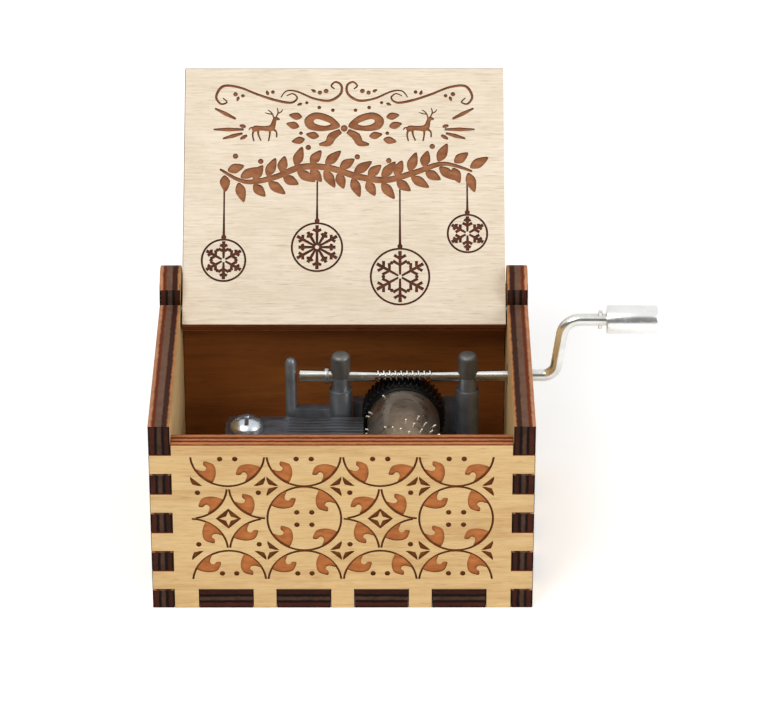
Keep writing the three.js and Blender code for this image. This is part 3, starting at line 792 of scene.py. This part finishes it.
def finish_panel(panel, node, body, outward, outer_face):
    """Paints shade onto the engraving's walls with the darker line colour, writes each vertex's depth into
    the sheet and finishes it.
    """
    outward = Vector(outward)
    for face in panel.data.polygons:
        # Painted shade: a recess's walls take the darker line colour for the shade that falls inside it.
        if face.material_index == FLOOR and abs(face.normal.dot(outward)) < 0.5:
            face.material_index = RIM
    depth = panel.data.attributes.new("depth", "FLOAT", "POINT")
    for vertex, value in zip(panel.data.vertices, depth.data):
        value.value = (outer_face - vertex.co.dot(outward)) / PLY
    finish(panel, node + "_wood", body, [node])


def case_panel(node, outward, outer_face, across, columns, outer_wood, inner_wood, top):
    """A side of the case with its lattice. `across` is the ornament's left-to-right direction."""
    panel = copy_of(node)
    bevel(panel, PANEL_BEVEL, 1)
    materials = (outer_wood, DARK_EDGE, LEAF_BROWN, LINE_AND_WALL_SHADE_BROWN, inner_wood, top)
    paint_panel(panel, materials, outward)
    centre = Vector(outward) * outer_face + Vector((0, 0, LATTICE_Z))
    matrix = axes(across, (0, 0, 1), centre)
    rings, arcs, leaves = lattice(columns)
    engrave(panel, rings, ENGRAVING_DEPTH, matrix, RIM)
    engrave(panel, arcs, ENGRAVING_DEPTH - 0.02, matrix, RIM)
    engrave(panel, leaves, ENGRAVING_DEPTH - 0.06, matrix, FLOOR)
    finish_panel(panel, node, "case", outward, outer_face)


def bottom_panel():
    panel = copy_of("bottom_panel")
    bevel(panel, PANEL_BEVEL, 1)
    # The bottom's inside faces take the inner veneer, whose dark brown is painted shade.
    materials = (TAN_VENEER, DARK_EDGE, LEAF_BROWN, LINE_AND_WALL_SHADE_BROWN, SHADED_INNER_VENEER, SHADED_INNER_VENEER)
    paint_panel(panel, materials, (0, 0, -1))
    finish_panel(panel, "bottom_panel", "case", (0, 0, -1), 0)


def lid():
    panel = copy_of("lid")
    bevel(panel, PANEL_BEVEL, 1)
    up = Vector((0, math.sin(LID_LEAN), math.cos(LID_LEAN)))
    outward = Vector((0, -math.cos(LID_LEAN), math.sin(LID_LEAN)))
    outer_face = HINGE.dot(outward) + PLY / 2
    materials = (PALE_VENEER, WARM_EDGE, LID_BROWN, LID_LINE_AND_WALL_SHADE, PALE_VENEER, WARM_EDGE)
    paint_panel(panel, materials, outward)
    matrix = axes((1, 0, 0), up, HINGE - LID_OVERHANG * up + PLY / 2 * outward)
    shapes = scrollwork() + rays() + deer(-14.0, 34.9, 0.9) + deer(13.2, 34.9, 0.9) + bow() + garland()
    baubles = [shape for values in BAUBLES for shape in bauble(*values)]
    engrave(panel, baubles, ENGRAVING_DEPTH - 0.05, matrix, RIM)
    engrave(panel, shapes, ENGRAVING_DEPTH, matrix, FLOOR)
    finish_panel(panel, "lid", "lid", outward, outer_face)


# ---------- movement ----------

WIRE_R = 1.05
RUNNING_GAP = 0.06
BORE_R = WIRE_R + RUNNING_GAP
ROD_CHAMFER = 0.15
COMB_SCREW_HEAD = 2.45  # height of the head over its seat
COMB_SCREW_SHANK = 1.0
COMB_SCREW_CROSS = (2.0, 0.36)  # half-length and half-width of the cross in the head
CROSS_FLOOR = 1.5  # over the seat
MOUNTING_SHANK = 1.1
MOUNTING_CROSS = (1.5, 0.25)
MOUNTING_CROSS_DEPTH = 0.7
CAP_ROUNDING = 0.8


def middle(low, high):
    return (low + high) / 2


def laid(piece, directions, origin=(0, 0, 0)):
    """Lays a piece that was made about Z along another axis."""
    place(piece, axes(*directions, origin))
    return piece


def cast(node, body, material, width, segments=2):
    """The CAD node's shape with softened edges and a finish of its own."""
    piece = copy_of(node)
    bevel(piece, width, segments)
    smooth(piece, 40)
    finish(piece, node + "_fine", body, [node], [material])


def hinge_pins():
    for node in ("hinge_pin_left", "hinge_pin_right"):
        low, high = node_box(node)
        pin = bar((high.z - low.z) / 2, low.x, high.x, 40, ROD_CHAMFER)
        laid(pin, ALONG_X, (0, HINGE.y, HINGE.z))
        smooth(pin)
        finish(pin, node + "_turned", "lid", [node], [PIN_STEEL])


def comb_screw(node):
    low, high = node_box(node)
    centre = middle(low, high)
    head = (high.x - low.x) / 2
    shank, seat = COMB_SCREW_SHANK, high.z - COMB_SCREW_HEAD
    screw = turned([
        (0, low.z), (shank, low.z), (shank, seat), (head - 0.1, seat), (head, seat + 0.12),
        (head, seat + 1.05), (head - 0.12, seat + 1.26), (2.2, seat + 1.8), (1.7, seat + 2.1),
        (1.1, seat + 2.33), (0.5, high.z - 0.02), (0, high.z),
    ], 72)
    place(screw, Matrix.Translation((centre.x, centre.y, 0)))
    for across, along in (COMB_SCREW_CROSS, COMB_SCREW_CROSS[::-1]):
        cut(screw, block((centre.x - across, centre.y - along, seat + CROSS_FLOOR),
                         (centre.x + across, centre.y + along, high.z + 1)))
    bevel(screw, 0.06, 2, 30)
    smooth(screw, 30)
    finish(screw, node + "_turned", "case", [node], [BRIGHT_SCREW])


def mounting_screw(node):
    low, high = node_box(node)
    centre = middle(low, high)
    head, shank = (high.x - low.x) / 2, MOUNTING_SHANK
    screw = turned([(0, low.z), (head, low.z), (shank, low.z + head - shank), (shank, high.z - ROD_CHAMFER),
                    (shank - ROD_CHAMFER, high.z), (0, high.z)], 48)
    place(screw, Matrix.Translation((centre.x, centre.y, 0)))
    for across, along in (MOUNTING_CROSS, MOUNTING_CROSS[::-1]):
        cut(screw, block((centre.x - across, centre.y - along, low.z - 1),
                         (centre.x + across, centre.y + along, low.z + MOUNTING_CROSS_DEPTH)))
    smooth(screw, 30)
    finish(screw, node + "_turned", "case", [node], [PIN_STEEL])


def bearing_cap(node):
    """A post's peened cap, grooved for the wire that turns in it."""
    low, high = node_box(node)
    centre = middle(low, high)
    radius = (high.x - low.x) / 2
    crown = [(radius - CAP_ROUNDING * (1 - math.cos(a)), high.z - CAP_ROUNDING * (1 - math.sin(a)))
             for a in (math.radians(15 * step) for step in range(7))]
    cap = turned([(0, low.z), (radius, low.z), *crown, (0, high.z)], 64)
    place(cap, Matrix.Translation((centre.x, centre.y, 0)))
    cut(cap, laid(bar(BORE_R, centre.x - 3, centre.x + 3, 48), ALONG_X, (0, SHAFT.y, SHAFT.z)))
    smooth(cap, 30)
    finish(cap, node + "_turned", "case", [node], [PALE_ZINC])


def movement():
    cast("movement_frame", "case", ZINC, 0.18, 3)
    cast("comb", "case", COMB_STEEL, 0.07)
    for node in ("comb_screw_rear", "comb_screw_front"):
        comb_screw(node)
    for node in ("bearing_cap_left", "bearing_cap_right"):
        bearing_cap(node)
    for number in (1, 2, 3):
        mounting_screw(f"mounting_screw_{number}")


# ---------- pinned cylinder ----------

DRUM_R = 6.3
DRUM_WALL = 0.5
NOTE_PIN_R = 0.2
NOTE_PIN_ROOT = 0.3  # how far a pin is let into the drum
NOTE_PIN_HEIGHT = 0.45
PIN_COUNT = 66
LINES_APART = 7  # tines from one pin to the next
TINE_PITCH = 1.03
TINES = 18
COMB_MIDDLE = -1.9


def about_drum(piece):
    return laid(piece, ALONG_Y, (DRUM_AXIS.x, 0, DRUM_AXIS.z))


def tube(inner, outer, low, high, steps, chamfer=0.08):
    return turned([
        (inner, low), (outer - chamfer, low), (outer, low + chamfer), (outer, high - chamfer),
        (outer - chamfer, high), (inner, high),
    ], steps)


def drum():
    low, high = node_box("cylinder_drum")
    piece = about_drum(tube(DRUM_R - DRUM_WALL, DRUM_R, low.y, high.y, 160))
    golden_angle = math.pi * (3 - math.sqrt(5))
    pins = []
    for number in range(PIN_COUNT):
        pin = bar(NOTE_PIN_R, DRUM_R - NOTE_PIN_ROOT, DRUM_R + NOTE_PIN_HEIGHT, 14, 0.07)
        angle = number * golden_angle
        along = COMB_MIDDLE + ((number * LINES_APART) % TINES - (TINES - 1) / 2) * TINE_PITCH
        way = (math.cos(angle), 0, -math.sin(angle))
        place(pin, axes(way, (0, 1, 0), (DRUM_AXIS.x, along, DRUM_AXIS.z)))
        pins.append(pin)
    piece.data.materials.append(DRUM_METAL)
    for pin in pins:
        pin.data.materials.append(PIN_BRIGHT)
    join(piece, *pins)
    smooth(piece, 35)
    finish(piece, "cylinder_drum_pinned", "cylinder", ["cylinder_drum"])


def cylinder():
    drum()
    for node in ("drum_end_plate_front", "drum_end_plate_rear"):
        cast(node, "cylinder", BLACK, 0.12)
    low, high = node_box("cylinder_arbor")
    arbor = about_drum(bar((high.x - low.x) / 2, low.y, high.y, 40, ROD_CHAMFER))
    smooth(arbor)
    finish(arbor, "cylinder_arbor_turned", "cylinder", ["cylinder_arbor"], [PIN_STEEL])
    cast("cylinder_gear", "cylinder", BLACK, 0.05)


# ---------- crank ----------

WORM_PITCH = 1.0
WORM_TURNS = 10
WORM_ROOT_R = 0.6
THREAD_CREST = 0.1  # half-widths of the worm's thread, in pitches
THREAD_BASE = 0.27
SAMPLES = 24  # along each pitch of the worm
CORE_R = 0.5  # what lies nearer the axis belongs to the wire's end
CRANK_BEND_X = 34.6
LOWER_BEND = 2.3
UPPER_BEND = 3.0
SLANT = math.radians(82)  # the rising arm's angle from level
LUG_X = (43.9, 44.6)
LUG_HALF_Y = 0.45
LUG_HALF_Z = 1.65
HEAD_R = 1.55
HEAD_THICK = 0.6
KNOB_RECESS = 0.8


def straight_wire(low, high):
    """The wire inside the case, with its rolled worm over the gear."""
    worm_start = DRUM_AXIS.x - WORM_TURNS / 2 * WORM_PITCH
    worm_end = worm_start + WORM_TURNS * WORM_PITCH
    thread = [(WIRE_R, worm_start + WORM_PITCH * i / SAMPLES) for i in range(WORM_TURNS * SAMPLES + 1)]
    profile = [(0, low), (WIRE_R - ROD_CHAMFER, low), (WIRE_R, low + ROD_CHAMFER), *thread,
               (WIRE_R, high), (0, high)]
    wire = laid(turned(profile, 48), ALONG_X, (0, SHAFT.y, SHAFT.z))
    for vertex in wire.data.vertices:
        x, y, z = vertex.co.x, vertex.co.y - SHAFT.y, vertex.co.z - SHAFT.z
        if worm_start <= x <= worm_end and math.hypot(y, z) > CORE_R:
            turn = (math.atan2(z, y) + math.pi / 2) / (2 * math.pi)
            along = (x - DRUM_AXIS.x) / WORM_PITCH - turn
            away = abs(along - round(along))
            t = min(max((away - THREAD_CREST) / (THREAD_BASE - THREAD_CREST), 0), 1)
            depth = t * t * (3 - 2 * t)
            radius = WIRE_R + (WORM_ROOT_R - WIRE_R) * depth
            scale = radius / math.hypot(y, z)
            vertex.co = (x, SHAFT.y + y * scale, SHAFT.z + z * scale)
    return wire


def bent_wire(start_x, end_x):
    """A round wire along two bends, from the shaft's line up to the knob's."""
    out = Vector((1, 0, 0))
    up = Vector((math.cos(SLANT), 0, math.sin(SLANT)))
    tangents = [bend * math.tan(SLANT / 2) for bend in (LOWER_BEND, UPPER_BEND)]
    rise = KNOB_AXIS.z - SHAFT.z
    low = Vector((CRANK_BEND_X + tangents[0], SHAFT.y, SHAFT.z))
    high = low + up * (rise / math.sin(SLANT))
    corners = ((low, out, up, tangents[0]), (high, up, out, tangents[1]))
    curve = bpy.data.curves.new("wire", "CURVE")
    curve.dimensions = "3D"
    curve.bevel_depth = WIRE_R
    curve.bevel_resolution = 8
    curve.resolution_u = 14
    curve.use_fill_caps = True
    spline = curve.splines.new("BEZIER")
    spline.bezier_points.add(5)
    points = [(Vector((start_x, SHAFT.y, SHAFT.z)), out, 0.5)]
    for corner, before, after, tangent in corners:
        points.append((corner - before * tangent, before, tangent * 0.55))
        points.append((corner + after * tangent, after, tangent * 0.55))
    points.append((Vector((end_x, SHAFT.y, KNOB_AXIS.z)), out, 0.5))
    for point, (where, way, handle) in zip(spline.bezier_points, points):
        point.handle_left_type = point.handle_right_type = "FREE"
        point.co = where
        point.handle_left = where - way * handle
        point.handle_right = where + way * handle
    wire = bpy.data.objects.new("wire", curve)
    bpy.context.scene.collection.objects.link(wire)
    choose(wire)
    bpy.ops.object.convert(target="MESH")
    merge_and_face_out(wire)
    return wire


def crank():
    shaft_low, _ = node_box("crank_shaft")
    knob_low, knob_high = node_box("crank_knob")
    head_x = knob_high.x - KNOB_RECESS + 0.05
    wire = straight_wire(shaft_low.x, HALF_W)
    bend = bent_wire(HALF_W - 1, head_x + 0.1)
    lug = block((LUG_X[0], SHAFT.y - LUG_HALF_Y, KNOB_AXIS.z - LUG_HALF_Z),
                (LUG_X[1], SHAFT.y + LUG_HALF_Y, KNOB_AXIS.z + LUG_HALF_Z))
    bevel(lug, 0.12, 3)
    head = laid(bar(HEAD_R, head_x, head_x + HEAD_THICK, 48, 0.12), ALONG_X, (0, SHAFT.y, KNOB_AXIS.z))
    wire = join(wire, bend, lug, head)
    smooth(wire, 40)
    finish(wire, "crank_shaft_wire", "crank", ["crank_shaft"], [BRIGHT_WIRE])
    cast("retaining_ring", "crank", PIN_STEEL, 0.05)
    outer, edge, corner = (knob_high.z - knob_low.z) / 2, 0.22, 0.06
    recess_r, recess_x = HEAD_R + 0.15, knob_high.x - KNOB_RECESS
    knob = turned([
        (BORE_R, knob_low.x), (outer - edge, knob_low.x), (outer - corner, knob_low.x + corner),
        (outer, knob_low.x + edge), (outer, knob_high.x - edge), (outer - corner, knob_high.x - corner),
        (outer - edge, knob_high.x), (recess_r, knob_high.x), (recess_r, recess_x), (BORE_R, recess_x),
    ], 96)
    laid(knob, ALONG_X, (0, SHAFT.y, KNOB_AXIS.z))
    smooth(knob, 30)
    finish(knob, "crank_knob_turned", "knob", ["crank_knob"], [KNOB_CHROME])


# ---------- camera, light and floor ----------

CAMERA_PLACE = (0.00643, -0.607, 0.3637)
CAMERA_DOWN = 28.55  # degrees below level
CAMERA_TURN = -0.06
LENS = 189.8


def camera():
    data = bpy.data.cameras.new("camera")
    data.lens = LENS
    data.sensor_width = 36
    data.clip_start = 0.01
    data.clip_end = 20
    view = bpy.data.objects.new("camera", data)
    view.location = CAMERA_PLACE
    view.rotation_euler = (math.radians(90 - CAMERA_DOWN), 0, math.radians(CAMERA_TURN))
    bpy.context.scene.collection.objects.link(view)
    bpy.context.scene.camera = view


def lamp(name, location, target, size, power, color=(1, 1, 1)):
    data = bpy.data.lights.new(name, "AREA")
    data.shape = "RECTANGLE"
    data.size, data.size_y = size
    data.energy = power
    data.color = color
    light = bpy.data.objects.new(name, data)
    light.location = location
    light.rotation_euler = (Vector(target) - Vector(location)).to_track_quat("-Z", "Y").to_euler()
    bpy.context.scene.collection.objects.link(light)


def reflected_room(tree):
    """Shiny pieces mirror a room that is bright overhead and behind, and dim in front."""
    def node(kind, **settings):
        made = tree.nodes.new(kind)
        for name, value in settings.items():
            setattr(made, name, value)
        return made
    way = node("ShaderNodeSeparateXYZ")
    tree.links.new(node("ShaderNodeTexCoord").outputs["Generated"], way.inputs[0])
    behind = node("ShaderNodeMath", operation="MULTIPLY_ADD")
    behind.inputs[1].default_value = 0.6
    tree.links.new(way.outputs["Y"], behind.inputs[0])
    tree.links.new(way.outputs["Z"], behind.inputs[2])
    level = node("ShaderNodeMapRange")
    for name, value in (("From Min", 0.25), ("From Max", 0.5), ("To Min", 0.2), ("To Max", 1.05)):
        level.inputs[name].default_value = value
    tree.links.new(behind.outputs[0], level.inputs["Value"])
    room = node("ShaderNodeBackground")
    tree.links.new(level.outputs[0], room.inputs["Strength"])
    room.inputs["Color"].default_value = (1, 1, 1, 1)
    both = node("ShaderNodeMixShader")
    tree.links.new(node("ShaderNodeLightPath").outputs["Is Glossy Ray"], both.inputs[0])
    tree.links.new(tree.nodes["Background"].outputs[0], both.inputs[1])
    tree.links.new(room.outputs[0], both.inputs[2])
    tree.links.new(both.outputs[0], tree.nodes["World Output"].inputs[0])


def studio():
    world = bpy.data.worlds.new("studio")
    world.use_nodes = True
    sky = world.node_tree.nodes["Background"]
    sky.inputs["Color"].default_value = (1, 1, 1, 1)
    sky.inputs["Strength"].default_value = 0.5
    reflected_room(world.node_tree)
    bpy.context.scene.world = world
    lamp("key", (-0.35, -0.45, 0.75), (0, 0, 0.03), (0.5, 0.5), 4.6, (1, 0.985, 0.96))
    lamp("fill", (0.6, -0.35, 0.35), (0, 0, 0.03), (0.4, 0.5), 2.8)
    deselect()
    bpy.ops.mesh.primitive_plane_add(size=4, location=(0, 0, 0))
    floor = bpy.context.object
    floor.name = "floor"
    paper = Finish("paper_floor", Roughness=0.9)
    tone = paper.noise(paper.coordinates((1, 1, 1)), scale=3, detail=2)
    paper.set("Base Color", paper.ramp(tone, (0.3, (0.9, 0.9, 0.9)), (0.7, (0.93, 0.93, 0.93))))
    paper.shader.inputs["Emission Color"].default_value = (1, 1, 1, 1)
    paper.shader.inputs["Emission Strength"].default_value = 0.3
    floor.data.materials.append(paper.material)


camera()
studio()
bpy.context.scene.view_settings.view_transform = "Standard"

case_panel("front_panel", (0, -1, 0), HALF_D, (1, 0, 0), 4, TAN_VENEER, TAN_VENEER, WARM_EDGE)
# The back panel's inside face takes the inner veneer, whose dark brown is painted shade.
case_panel("back_panel", (0, 1, 0), HALF_D, (-1, 0, 0), 4, TAN_VENEER, SHADED_INNER_VENEER, WARM_EDGE)
case_panel("right_side_panel", (1, 0, 0), HALF_W, (0, 1, 0), 3, TAN_VENEER_Y, TAN_VENEER_Y, SIDE_EDGE)
case_panel("left_side_panel", (-1, 0, 0), HALF_W, (0, -1, 0), 3, TAN_VENEER_Y, TAN_VENEER_Y, SIDE_EDGE)
bottom_panel()
lid()
hinge_pins()
movement()
cylinder()
crank()
